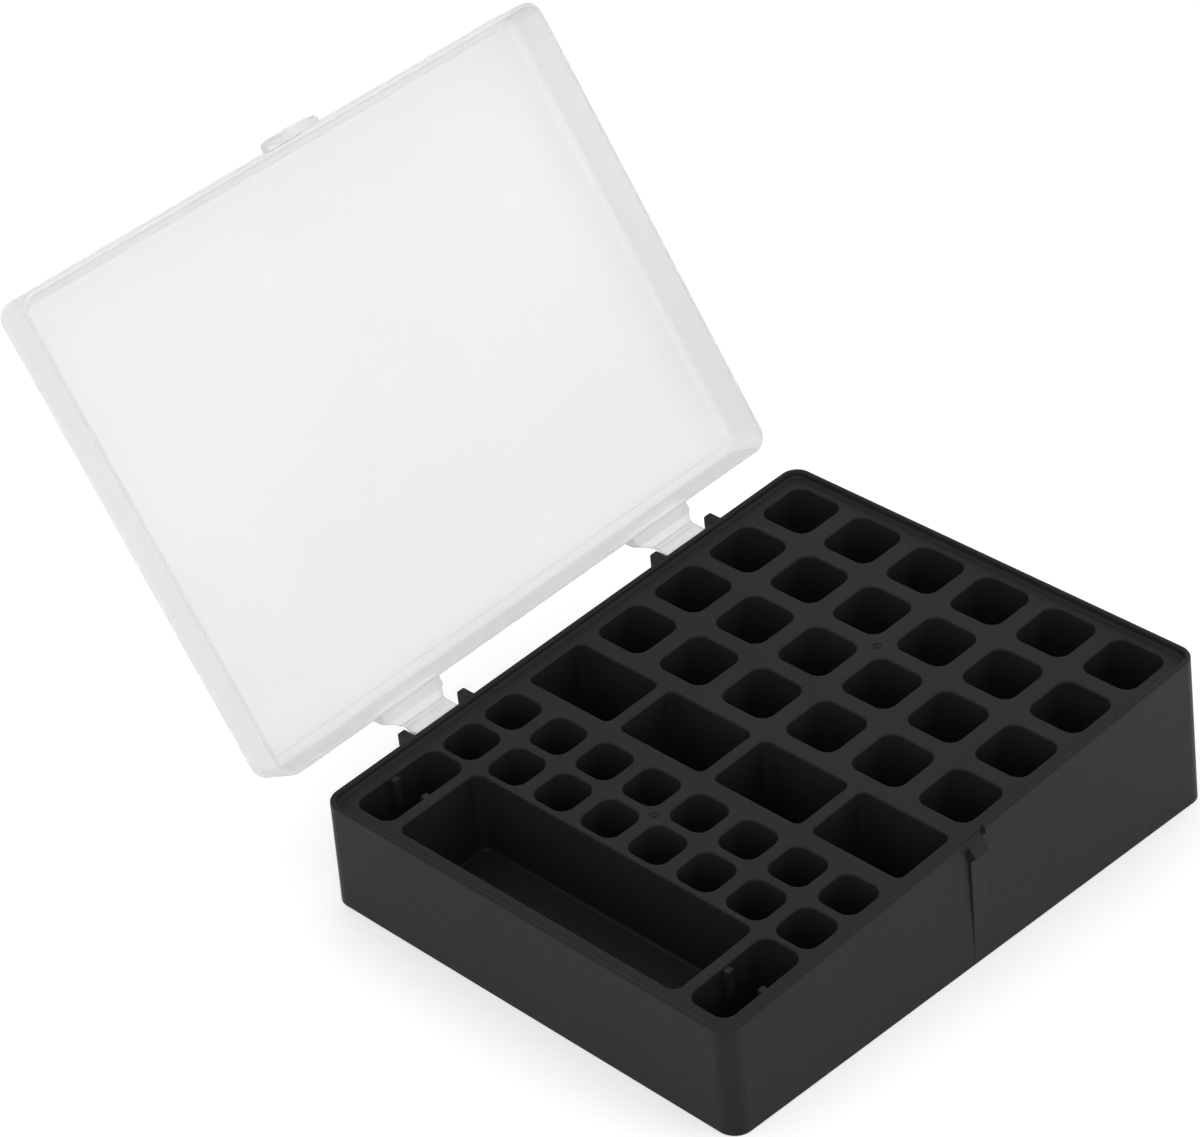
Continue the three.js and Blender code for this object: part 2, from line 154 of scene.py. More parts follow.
# Hinge: axis and gaps, ears of the base, leaves and flanges of the lid
HINGE_Y = HALF_DEPTH + 5.7
HINGE_DROP = 2
HINGE_CENTRES = (-45.95, 45.95)
HINGE_GAP = 0.3
SEAM = 0.3
EAR_PITCH = 20.8
EAR_THICKNESS = 2.0
EAR_BACK = HALF_DEPTH + 4.1
EAR_SLANT = 0.8
EAR_LENGTH = 18.0
EAR_FOOT = 2.4
EAR_ROOT = 0.9
EAR_TOE = 0.6
EAR_BEVEL = 0.28
EAR_LIP = 1.8
LIP_BEVEL = 0.22
LEAF_WIDTH = 14.5
LEAF_THICKNESS = 1.6
LEAF_SHELF = 1.3
LEAF_LENGTH = 14.0
LEAF_NECK = 3.2
LEAF_BEVEL = 0.15
WING_BEVEL = 0.2
FLANGE_WIDTH = 20.4
FLANGE_HEIGHT = 5.5
FLANGE_LIFT = 0.5
FLANGE_TIP = 1.3
FLANGE_SHOULDER = 1.6
FLANGE_STEPS = 12

# Film of the living hinge
FILM = 0.4
FILM_BULGE = 0.45
FILM_TUCK = 0.5
FILM_INSET = 0.1
FILM_STEPS = 12

# Lid
LID_GAP = 0.3
LID_HEIGHT = 14.141
LID_TOP = LID_GAP + LID_HEIGHT
LID_WALL = 1.2
LID_HALF_WIDTH = HALF_WIDTH + 1.8
LID_HALF_DEPTH = HALF_DEPTH + 0.4
LID_OUTER = (-LID_HALF_WIDTH, LID_HALF_WIDTH, -LID_HALF_DEPTH, LID_HALF_DEPTH)
LID_INNER = (-LID_HALF_WIDTH + LID_WALL, LID_HALF_WIDTH - LID_WALL,
             -LID_HALF_DEPTH + LID_WALL, LID_HALF_DEPTH - LID_WALL)
LID_EDGE = 1.6
LID_RIM = 0.3
LID_LIP = 0.25
LID_DRAFT = 0.02
LID_COVE = 2.5
LID_GROOVE = 0.25

# Rise and inset of the cove round the lid's panel, as shares of LID_COVE
COVE_SHARES = ((0, 0), (0.3, 0.08), (0.6, 0.3), (0.8, 0.55), (1, 0.9))

# Latch tongue
TONGUE_HALF = 6
TONGUE_ROOT = 3.2
TONGUE_SEAM = 0.03
TONGUE_BEND = 1.2
TONGUE_RELIEF = 0.24
TONGUE_REACH = 2.9
TONGUE_FLARE = 0.6
TONGUE_BOW = 0.5
TONGUE_RADIUS = 1.6
TONGUE_BAR = 1.8
TONGUE_BEVEL = 0.3
TONGUE_BEVEL_ANGLE = 38
WINDOW_CLEARANCE = 0.35

# Noise of the materials lies mostly in this range
NOISE_RANGE = (0.3, 0.7)

# Share of the lamps' light that passes through the milky plastic
LIGHT_PASSED = 0.9

# Backdrop: half side of the floor and its depth below the case in metres, and its own light near and far
FLOOR_HALF = 6
FLOOR_DROP = 0.0002
FADE_DISTANCES = (0.45, 1.1)
FADE_STRENGTHS = (0.34, 0.42)
WORLD_STRENGTHS = (0.7, 1.0)

# Lamps: name, place and side in metres, power in watts
LAMPS = (
    ("key", (-1.15, -0.6, 0.75), 1.2, 6.2),
    ("fill", (0.8, -1.1, 0.6), 1.4, 4.4),
    ("top", (0.1, 0.5, 1.6), 1.4, 2.5),
)

# The rim's frame and the open lid's frame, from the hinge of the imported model
joints = {joint["name"]: joint for joint in frame["joints"]}
hinge = joints["lid_hinge"]
rim_x = -Vector(hinge["axis"]).normalized()
rim_y = Vector((0, 1, 0))
turn = Matrix((rim_x, rim_y, rim_x.cross(rim_y))).transposed()
origin = Vector(hinge["pos_m"]) - turn @ Vector((0, HINGE_Y, -HINGE_DROP)) * MM
RIM = Matrix.Translation(origin) @ turn.to_4x4() @ Matrix.Scale(MM, 4)
TILT = math.atan(SLOPE)
OPEN = math.radians(-hinge["range_deg"][0])
LID = (RIM @ Matrix.Translation((0, HINGE_Y, -HINGE_DROP)) @ Matrix.Rotation(-OPEN, 4, "X")
       @ Matrix.Translation((0, -HINGE_Y, HINGE_DROP)))


def quarter_turn(steps):
    """Angles from 0 to 90 degrees, in radians."""
    return [step / steps * math.pi / 2 for step in range(steps + 1)]


def outline(rect, radius, steps):
    """Points round a rectangle with round corners, anticlockwise."""
    x0, x1, y0, y1 = rect
    corners = ((x1 - radius, y1 - radius), (x0 + radius, y1 - radius),
               (x0 + radius, y0 + radius), (x1 - radius, y0 + radius))
    points = []
    for quarter, (x, y) in enumerate(corners):
        for step in range(steps + 1):
            angle = (quarter + step / steps) * math.pi / 2
            points.append((x + radius * math.cos(angle), y + radius * math.sin(angle)))
    return points


def square(x, y, half):
    """A square round a point, as a rectangle's two places along x and two along y."""
    return x - half, x + half, y - half, y + half


def skin(bm, rings):
    """Adds a closed body through rings of points, and returns its faces."""
    rings = [[bm.verts.new(point) for point in ring] for ring in rings]
    faces = []
    for low, high in zip(rings, rings[1:]):
        for i in range(len(low)):
            j = (i + 1) % len(low)
            faces.append(bm.faces.new((low[i], low[j], high[j], high[i])))
    faces.append(bm.faces.new(list(reversed(rings[0]))))
    faces.append(bm.faces.new(rings[-1]))
    return faces


def loft(bm, rect, radius, levels, steps=ARC):
    """Adds an upright body through levels of (z, growth of the sides, growth of the corner radius)."""
    x0, x1, y0, y1 = rect
    rings = []
    for z, grow, bulge in levels:
        points = outline((x0 - grow, x1 + grow, y0 - grow, y1 + grow), radius + bulge, steps)
        rings.append([(x, y, z) for x, y in points])
    skin(bm, rings)


def floor_levels(z, radius, steps=4):
    """Levels of a rounded bottom edge, from the flat upwards."""
    levels = []
    for angle in quarter_turn(steps):
        inset = radius * (1 - math.sin(angle))
        levels.append((z + radius * (1 - math.cos(angle)), -inset, -inset))
    return levels


def crown_levels(z, radius, grow=0.0, steps=4):
    """Levels of a rounded top edge, up to the flat."""
    levels = []
    for angle in quarter_turn(steps):
        inset = radius * (1 - math.cos(angle))
        levels.append((z - radius + radius * math.sin(angle), grow - inset, -inset))
    return levels


def mouth_levels(z, radius):
    """Levels of a cutter that leaves a rounded edge round a mouth at z, and runs on above it."""
    levels = []
    for angle in quarter_turn(steps=4):
        flare = radius * (1 - math.cos(angle))
        levels.append((z - radius + radius * math.sin(angle), flare, flare))
    return levels + [(z + OVERRUN, radius, radius)]


def bar(bm, section, x0, x1, bevel=0.0, segments=2):
    """Adds a bar along x with a section given as (y, z) points, with its edges rounded by bevel."""
    faces = skin(bm, [[(x, y, z) for y, z in section] for x in (x0, x1)])
    bmesh.ops.recalc_face_normals(bm, faces=faces)
    if bevel:
        edges = list(dict.fromkeys(edge for face in faces for edge in face.edges))
        bmesh.ops.bevel(bm, geom=edges, offset=bevel, segments=segments, profile=0.5, affect="EDGES",
                        clamp_overlap=True)


def mirrored(side):
    """A closed plan or profile from its points on the side where x is positive."""
    return side + [(-x, across) for x, across in reversed(side)]


def body(name, bm):
    """An object of a bmesh, in the scene."""
    mesh = bpy.data.meshes.new(name)
    bm.to_mesh(mesh)
    bm.free()
    obj = bpy.data.objects.new(name, mesh)
    bpy.context.scene.collection.objects.link(obj)
    return obj


def upright(name, plan, z0, z1):
    """An object with a plan given as (x, y) points."""
    bm = bmesh.new()
    faces = skin(bm, [[(x, y, z) for x, y in plan] for z in (z0, z1)])
    bmesh.ops.recalc_face_normals(bm, faces=faces)
    return body(name, bm)


def combine(target, tool, operation):
    """Joins, cuts or intersects target with tool, and removes tool."""
    modifier = target.modifiers.new("combine", "BOOLEAN")
    modifier.operation = operation
    modifier.solver = "MANIFOLD"
    modifier.object = tool
    depsgraph = bpy.context.evaluated_depsgraph_get()
    depsgraph.update()
    result = bpy.data.meshes.new_from_object(target.evaluated_get(depsgraph), depsgraph=depsgraph)
    target.modifiers.clear()
    old = target.data
    target.data = result
    bpy.data.meshes.remove(old)
    tool_mesh = tool.data
    bpy.data.objects.remove(tool)
    bpy.data.meshes.remove(tool_mesh)
    return target


def finish_mesh(obj, matrix):
    """Cleans a mesh, puts it in place and shades it smooth where its edges are soft."""
    bm = bmesh.new()
    bm.from_mesh(obj.data)
    bmesh.ops.remove_doubles(bm, verts=bm.verts, dist=MERGE)
    bmesh.ops.dissolve_degenerate(bm, edges=bm.edges, dist=MERGE)
    bm.to_mesh(obj.data)
    bm.free()
    obj.data.transform(matrix)
    obj.data.shade_smooth()
    obj.data.set_sharp_from_angle(angle=math.radians(SHARP_ANGLE))
    weighted = obj.modifiers.new("weighted", "WEIGHTED_NORMAL")
    weighted.mode = "FACE_AREA"
    weighted.weight = NORMAL_WEIGHT
    weighted.keep_sharp = True
    return obj


def depth_at(x):
    """Depth that a well can have whose shallow edge is at x."""
    return MIDDLE + SLOPE * x + DECK - WELL_WALL - STAND_GAP


def rear_face(z):
    """Place along y of the flared rear wall's outside."""
    return HALF_DEPTH - FLARE * z


def bank(x0, x1, length, rows, depth, radius):
    """A column of wells, evenly spread from the rear to the front."""
    wells = []
    for row in range(rows):
        y1 = BANK / 2 - row * (BANK - length) / (rows - 1)
        wells.append(((x0, x1, y1 - length, y1), depth, radius))
    return wells


def well_groups():
    """The wells in two groups: those for standing cells, and the tray with its corner slots.

    Each well is its rectangle, its depth below the deck and its corner radius.
    """
    cells = []
    depth = depth_at(AA_COLUMNS[-1] - AA_SIZE)
    for x1 in AA_COLUMNS:
        cells += bank(x1 - AA_SIZE, x1, AA_SIZE, AA_ROWS, depth, AA_RADIUS)
    x0, x1, length = NINE_VOLT
    cells += bank(x0, x1, length, NINE_VOLT_ROWS, depth_at(x0), NINE_VOLT_RADIUS)
    depth = depth_at(AAA_COLUMNS[-1] - AAA_SIZE)
    for x1 in AAA_COLUMNS:
        cells += bank(x1 - AAA_SIZE, x1, AAA_SIZE, AAA_ROWS, depth, AAA_RADIUS)
    x0, x1, length = TRAY
    depth = depth_at(x0) - TRAY_RISE
    loose = [((x0, x1, -length / 2, length / 2), depth, TRAY_RADIUS)]
    for middle in (-SLOT_PITCH, SLOT_PITCH):
        loose.append(((x0, x1, middle - SLOT_DEPTH / 2, middle + SLOT_DEPTH / 2), depth, SLOT_RADIUS))
    return cells, loose


def room_below(groups):
    """What is open under the deck: the inside of the wall, less the shells of the wells."""
    low = BOTTOM - OVERRUN
    ceiling = DECK - DECK_THICKNESS
    bm = bmesh.new()
    levels = [(low, -FLARE * low, 0), (ceiling, -FLARE * ceiling, 0)]
    loft(bm, INNER, RIM_RADIUS - WALL, levels, steps=RIM_ARC)
    room = body("room", bm)
    for wells in groups:
        bm = bmesh.new()
        for (x0, x1, y0, y1), depth, radius in wells:
            shell = (x0 - WELL_WALL, x1 + WELL_WALL, y0 - WELL_WALL, y1 + WELL_WALL)
            levels = floor_levels(DECK - depth - WELL_WALL, SHELL_FILLET, steps=3)
            levels.append((DECK - DECK_THICKNESS / 2, 0, 0))
            loft(bm, shell, radius + WELL_WALL / 2, levels, steps=SHELL_ARC)
        combine(room, body("shells", bm), "DIFFERENCE")
    return room


def cut_wells(base, wells):
    """Cuts a group of wells into the deck, with round floors and soft mouths."""
    bm = bmesh.new()
    for rect, depth, radius in wells:
        levels = floor_levels(DECK - depth, WELL_FILLET) + mouth_levels(DECK + WELL_LIFT, WELL_MOUTH)
        loft(bm, rect, radius, levels)
    combine(base, body("wells", bm), "DIFFERENCE")


def cut_notch(base):
    """Cuts the notch in the front rim above the pad, with round cheeks."""
    side = [(NOTCH_HALF, DECK)]
    for angle in quarter_turn(steps=4):
        side.append((NOTCH_HALF + NOTCH_CHEEK * (1 - math.cos(angle)),
                     NOTCH_CHEEK * (math.sin(angle) - 1)))
    side.append((NOTCH_HALF + NOTCH_CHEEK, OVERRUN))
    bm = bmesh.new()
    faces = skin(bm, [[(x, y, z) for x, z in mirrored(side)]
                      for y in (-HALF_DEPTH - OVERRUN, -HALF_DEPTH + WALL + NOTCH_PAST)])
    bmesh.ops.recalc_face_normals(bm, faces=faces)
    combine(base, body("notch", bm), "DIFFERENCE")


def add_pad_and_ears(base):
    """Adds the pad with its snap catch in front and the four ears behind."""
    root = -HALF_DEPTH + WALL / 2
    top = -2 * HAIR
    foot = -EAR_LENGTH
    bm = bmesh.new()
    bar(bm, [(root, DECK), (root, BOTTOM), (PAD_FACE, BOTTOM), (PAD_FACE, -CATCH_BOTTOM),
             (PAD_FACE - CATCH_REACH, -CATCH_APEX), (PAD_FACE, -CATCH_TOP), (PAD_FACE, DECK)],
        -PAD_HALF, PAD_HALF, bevel=PAD_BEVEL, segments=3)
    for centre in HINGE_CENTRES:
        for way in (-1, 1):
            middle = centre + way * EAR_PITCH / 2
            bar(bm, [(rear_face(0) - EAR_ROOT, top), (EAR_BACK - EAR_SLANT, top), (EAR_BACK, -EAR_SLANT),
                     (EAR_BACK, foot + EAR_FOOT), (rear_face(foot) - EAR_TOE, foot)],
                middle - EAR_THICKNESS / 2, middle + EAR_THICKNESS / 2, bevel=EAR_BEVEL)
    combine(base, body("ears", bm), "UNION")


def add_lips(base):
    """Adds the lips of the ears, which hold the leaves against the wall."""
    top = -HINGE_DROP - LEAF_NECK
    low = -EAR_LENGTH + EAR_FOOT
    face = rear_face(top - LEAF_LENGTH) + SEAM + LEAF_THICKNESS + SEAM
    back = EAR_BACK - 2 * HAIR
    bm = bmesh.new()
    for centre in HINGE_CENTRES:
        for way in (-1, 1):
            outer = centre + way * EAR_PITCH / 2
            inward = outer - way * (EAR_THICKNESS / 2 + EAR_LIP)
            bar(bm, [(face, top), (face, low), (back, low), (back, top)],
                min(outer, inward), max(outer, inward), bevel=LIP_BEVEL)
    combine(base, body("lips", bm), "UNION")


def add_nubs(base):
    """Adds two nubs in each corner slot."""
    at = (TRAY[0] + TRAY[1]) / 2
    top = DECK - NUB_DROP
    low = top - NUB_HEIGHT
    bm = bmesh.new()
    for middle in (-SLOT_PITCH, SLOT_PITCH):
        for way in (-1, 1):
            wall = middle + way * SLOT_DEPTH / 2
            y0, y1 = sorted((wall + way * WELL_WALL / 2, wall - way * NUB_REACH))
            bar(bm, [(y0, top), (y0, low), (y1, low), (y1, top)],
                at - NUB_WIDTH / 2, at + NUB_WIDTH / 2, bevel=NUB_BEVEL)
    combine(base, body("nubs", bm), "UNION")


def mark_gates(base):
    """Adds the moulding's gate marks to the deck."""
    dimple = (floor_levels(DECK - DIMPLE_DEPTH, DIMPLE_FILLET)
              + [(DECK - DIMPLE_EDGE, 0, 0), (DECK + DIMPLE_RISE, DIMPLE_FLARE, DIMPLE_FLARE)])
    stub = [(DECK - STUB_ROOT, 0, 0)] + crown_levels(DECK + STUB_PROUD, STUB_CROWN)
    dimples = bmesh.new()
    stubs = bmesh.new()
    for x, y in GATES:
        loft(dimples, square(x, y, DIMPLE_RADIUS), DIMPLE_RADIUS - HAIR, dimple, steps=SHELL_ARC)
        loft(stubs, square(x, y, STUB_RADIUS), STUB_RADIUS - HAIR, stub, steps=STUB_ARC)
    combine(base, body("dimples", dimples), "DIFFERENCE")
    combine(base, body("stubs", stubs), "UNION")


def cut_ground(base):
    """Cuts off what lies below the ground that the case stands on."""
    reach = 4 * HALF_WIDTH
    bm = bmesh.new()
    bmesh.ops.create_cube(bm, size=reach)
    bmesh.ops.translate(bm, verts=bm.verts, vec=(0, 0, -reach / 2))
    bmesh.ops.rotate(bm, verts=bm.verts, cent=(0, 0, 0), matrix=Matrix.Rotation(TILT, 3, "Y"))
    bmesh.ops.translate(bm, verts=bm.verts, vec=(0, 0, -MIDDLE))
    combine(base, body("ground", bm), "DIFFERENCE")


def make_base():
    """The black moulding: wall, rim, deck, wells, pad with its catch, and the ears behind."""
    bm = bmesh.new()
    levels = [(BOTTOM, -FLARE * BOTTOM, 0)] + crown_levels(0, RIM_CROWN)
    loft(bm, OUTER, RIM_RADIUS, levels, steps=RIM_ARC)
    base = body("base_moulding", bm)
    bm = bmesh.new()
    levels = floor_levels(DECK, DECK_FILLET) + mouth_levels(0, RIM_MOUTH)
    loft(bm, INNER, RIM_RADIUS - WALL, levels, steps=RIM_ARC)
    combine(base, body("recess", bm), "DIFFERENCE")
    groups = well_groups()
    combine(base, room_below(groups), "DIFFERENCE")
    for wells in groups:
        cut_wells(base, wells)
    cut_notch(base)
    add_pad_and_ears(base)
    add_lips(base)
    add_nubs(base)
    mark_gates(base)
    cut_ground(base)
    return finish_mesh(base, RIM)


def make_flange(centre):
    """The gusset between the lid's rear wall and the living hinge, as one solid."""
    root = LID_HALF_DEPTH - LID_WALL / 2
    wall = LID_HALF_DEPTH + SEAM
    end = HINGE_Y - HINGE_GAP
    under = LID_GAP + FLANGE_LIFT
    over = under + FLANGE_HEIGHT
    tip = -HINGE_DROP + HINGE_GAP
    wide, narrow = FLANGE_WIDTH / 2, LEAF_WIDTH / 2
    bm = bmesh.new()
    bar(bm, [(root, under), (EAR_BACK - EAR_SLANT, under), (end, tip), (end, tip + FLANGE_TIP),
             (wall, over), (root, over)], centre - wide, centre + wide)
    flange = body("flange", bm)
    start = wall + FLANGE_SHOULDER
    side = [(wide + HAIR, root - OVERRUN)]
    for step in range(FLANGE_STEPS + 1):
        share = step / FLANGE_STEPS
        ease = (1 - math.cos(share * math.pi)) / 2
        side.append((wide + (narrow - wide) * ease, start + share * (end - start)))
    side.append((narrow, end + OVERRUN))
    plan = [(centre + x, y) for x, y in mirrored(side)]
    return combine(flange, upright("flange_plan", plan, tip - OVERRUN, over + OVERRUN), "INTERSECT")


def make_lid():
    """The lid's shell with its two flanges."""
    draft = LID_DRAFT * LID_HEIGHT
    levels = floor_levels(LID_GAP, LID_RIM, steps=3) + crown_levels(LID_TOP, LID_EDGE, -draft, steps=6)
    bm = bmesh.new()
    loft(bm, LID_OUTER, RIM_RADIUS, levels, steps=RIM_ARC)
    lid = body("lid_moulding", bm)
    lip = [(-OVERRUN, LID_LIP, LID_LIP)]
    for angle in quarter_turn(steps=3):
        flare = LID_LIP * (1 - math.sin(angle))
        lip.append((LID_GAP + LID_LIP * (1 - math.cos(angle)), flare, flare))
    ceiling = LID_TOP - LID_WALL
    cove = [(ceiling - LID_COVE * (1 - rise), -draft - LID_COVE * inset, -LID_COVE * inset)
            for rise, inset in COVE_SHARES]
    panel = [(ceiling - LID_GROOVE, -draft - LID_COVE, -LID_COVE)]
    bm = bmesh.new()
    loft(bm, LID_INNER, RIM_RADIUS - LID_WALL, lip + cove + panel, steps=RIM_ARC)
    combine(lid, body("hollow", bm), "DIFFERENCE")
    for centre in HINGE_CENTRES:
        combine(lid, make_flange(centre), "UNION")
    return finish_mesh(lid, LID)


def make_leaf(name, centre):
    """A leaf of the lid's moulding, held between two ears of the base."""
    top = -HINGE_DROP
    under = top - LEAF_SHELF
    neck = top - LEAF_NECK
    foot = top - LEAF_LENGTH
    end = HINGE_Y - HINGE_GAP
    inner = SEAM
    outer = SEAM + LEAF_THICKNESS
    bm = bmesh.new()
    bar(bm, [(rear_face(top) + inner, top), (rear_face(foot) + inner, foot),
             (rear_face(foot) + outer, foot), (rear_face(under) + outer, under),
             (end - LEAF_SHELF, under), (end, top)],
        centre - LEAF_WIDTH / 2, centre + LEAF_WIDTH / 2, bevel=LEAF_BEVEL)
    leaf = body(name, bm)
    half = (EAR_PITCH - EAR_THICKNESS) / 2 - SEAM
    low = foot + HAIR
    bm = bmesh.new()
    bar(bm, [(rear_face(neck) + inner, neck), (rear_face(foot) + inner, low),
             (rear_face(foot) + outer, low), (rear_face(neck) + outer, neck)],
        centre - half, centre + half, bevel=WING_BEVEL)
    return finish_mesh(combine(leaf, body("wings", bm), "UNION"), RIM)


def make_tongue():
    """The hasp on the front of the lid, with the window for the snap catch."""
    root = LID_GAP + TONGUE_ROOT
    tip = -CATCH_BOTTOM - WINDOW_CLEARANCE - TONGUE_BAR
    rear = -LID_HALF_DEPTH - TONGUE_SEAM
    clear = PAD_FACE - WINDOW_CLEARANCE
    face = -LID_HALF_DEPTH - TONGUE_REACH
    reach = face - TONGUE_FLARE
    bm = bmesh.new()
    bar(bm, [(rear - TONGUE_RELIEF, root), (rear, root - TONGUE_BEND), (rear, LID_GAP), (clear, 0),
             (clear, tip), (reach, tip), (face, LID_GAP + LID_WALL), (face + TONGUE_FLARE, root)],
        -TONGUE_HALF - OVERRUN, TONGUE_HALF + OVERRUN)
    tongue = body("latch_tongue_piece", bm)
    side = [(0, reach)]
    for angle in reversed(quarter_turn(steps=6)):
        side.append((TONGUE_HALF - TONGUE_RADIUS * (1 - math.cos(angle)),
                     reach + TONGUE_BOW + TONGUE_RADIUS * (1 - math.sin(angle))))
    side.append((TONGUE_HALF, rear + OVERRUN))
    plan = side + [(-x, y) for x, y in reversed(side[1:])]
    combine(tongue, upright("tongue_plan", plan, tip - OVERRUN, root + OVERRUN), "INTERSECT")
    half = PAD_HALF + WINDOW_CLEARANCE
    low = tip + TONGUE_BAR
    high = -CATCH_TOP + WINDOW_CLEARANCE
    bm = bmesh.new()
    bar(bm, [(rear + OVERRUN, low), (reach - OVERRUN, low),
             (reach - OVERRUN, high), (rear + OVERRUN, high)], -half, half)
    combine(tongue, body("window", bm), "DIFFERENCE")
    soft = tongue.modifiers.new("soft", "BEVEL")
    soft.width = TONGUE_BEVEL * MM
    soft.segments = 3
    soft.limit_method = "ANGLE"
    soft.angle_limit = math.radians(TONGUE_BEVEL_ANGLE)
    return finish_mesh(tongue, LID)


def film_path(centre):
    """Points of the film's middle line in metres, from inside the leaf to inside the flange, and its ends."""
    start = RIM @ Vector((centre, HINGE_Y - HINGE_GAP, -HINGE_DROP - FILM / 2))
    end = LID @ Vector((centre, HINGE_Y - HINGE_GAP, -HINGE_DROP + HINGE_GAP + FILM / 2))
    start_way = (RIM.to_3x3() @ Vector((0, 1, 0))).normalized()
    end_way = (LID.to_3x3() @ Vector((0, 1, 0))).normalized()
    bulge = FILM_BULGE * MM
    tuck = FILM_TUCK * MM
    controls = (start, start + start_way * bulge, end + end_way * bulge, end)
    points = [start - start_way * tuck]
    for step in range(FILM_STEPS + 1):
        t = step / FILM_STEPS
        weights = ((1 - t) ** 3, 3 * t * (1 - t) ** 2, 3 * t * t * (1 - t), t ** 3)
        points.append(sum((control * weight for control, weight in zip(controls, weights)), Vector()))
    points.append(end - end_way * tuck)
    return points, start, end


def make_film(name, centre):
    """The living hinge: a thin film that bends from the leaf to the flange."""
    points, start, end = film_path(centre)
    along = RIM.to_3x3() @ Vector((1, 0, 0))
    half = LEAF_WIDTH / 2 - FILM_INSET
    rings = []
    for before, point, after in zip(points[:1] + points, points, points[1:] + points[-1:]):
        normal = (after - before).normalized().cross(along.normalized()) * FILM * MM / 2
        rings.append([point + along * side + normal * face
                      for side, face in ((-half, -1), (half, -1), (half, 1), (-half, 1))])
    bm = bmesh.new()
    bmesh.ops.recalc_face_normals(bm, faces=skin(bm, rings))
    film = body(name, bm)
    film.data.shade_smooth()
    film.data.set_sharp_from_angle(angle=math.radians(FILM_SHARP_ANGLE))
    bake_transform(film)
    return film


def noise(nodes, links, coordinates, scale, detail):
    """A noise texture in an object's own coordinates."""
    texture = nodes.new("ShaderNodeTexNoise")
    texture.inputs["Scale"].default_value = scale
    texture.inputs["Detail"].default_value = detail
    links.new(coordinates.outputs["Object"], texture.inputs["Vector"])
    return texture


def grain(nodes, links, coordinates, scale, strength, distance):
    """Fine moulded grain, as the normals of a bump."""
    texture = noise(nodes, links, coordinates, scale, detail=3)
    texture.inputs["Roughness"].default_value = 0.6
    bump = nodes.new("ShaderNodeBump")
    bump.inputs["Strength"].default_value = strength
    bump.inputs["Distance"].default_value = distance
    links.new(texture.outputs["Fac"], bump.inputs["Height"])
    return bump.outputs["Normal"]


def map_range(nodes, links, source, from_range, to_range):
    """A socket's value, moved from one range to another."""
    node = nodes.new("ShaderNodeMapRange")
    names = ("From Min", "From Max", "To Min", "To Max")
    for name, value in zip(names, (*from_range, *to_range)):
        node.inputs[name].default_value = value
    links.new(source, node.inputs["Value"])
    return node.outputs["Result"]


def varied_value(nodes, links, coordinates, scale, low, high):
    """A value that varies softly between low and high."""
    texture = noise(nodes, links, coordinates, scale, detail=4)
    return map_range(nodes, links, texture.outputs["Fac"], NOISE_RANGE, (low, high))


def varied_colour(nodes, links, coordinates, scale, low, high):
    """A colour that varies softly between low and high."""
    texture = noise(nodes, links, coordinates, scale, detail=4)
    ramp = nodes.new("ShaderNodeValToRGB")
    for element, position, colour in zip(ramp.color_ramp.elements, NOISE_RANGE, (low, high)):
        element.position = position
        element.color = (*colour, 1)
    links.new(texture.outputs["Fac"], ramp.inputs["Fac"])
    return ramp.outputs["Color"]


def calculate(nodes, links, operation, first, second):
    """The result of an operation on a socket with another socket or a number."""
    node = nodes.new("ShaderNodeMath")
    node.operation = operation
    links.new(first, node.inputs[0])
    if isinstance(second, float):
        node.inputs[1].default_value = second
    else:
        links.new(second, node.inputs[1])
    return node.outputs[0]


def seen_rays(nodes, links):
    """1 for the rays of the camera and for those that gloss and glass send on to the backdrop, else 0."""
    path = nodes.new("ShaderNodeLightPath")
    total = path.outputs["Is Camera Ray"]
    for kind in ("Is Glossy Ray", "Is Transmission Ray"):
        total = calculate(nodes, links, "MAXIMUM", total, path.outputs[kind])
    return total


def new_material(name):
    """A material with its nodes, its links and its shader."""
    material = bpy.data.materials.new(name)
    material.use_nodes = True
    nodes, links = material.node_tree.nodes, material.node_tree.links
    return material, nodes, links, nodes["Principled BSDF"]


def black_plastic():
    """Black polypropylene, satin with a fine grain."""
    material, nodes, links, shader = new_material("black_polypropylene")
    coordinates = nodes.new("ShaderNodeTexCoord")
    colour = varied_colour(nodes, links, coordinates, scale=40,
                           low=(0.0140, 0.0140, 0.0143), high=(0.0165, 0.0165, 0.0168))
    roughness = varied_value(nodes, links, coordinates, scale=900, low=0.42, high=0.52)
    normal = grain(nodes, links, coordinates, scale=2600, strength=0.3, distance=0.00006)
    links.new(colour, shader.inputs["Base Color"])
    links.new(roughness, shader.inputs["Roughness"])
    links.new(normal, shader.inputs["Normal"])
    shader.inputs["Specular IOR Level"].default_value = 0.1
    return material


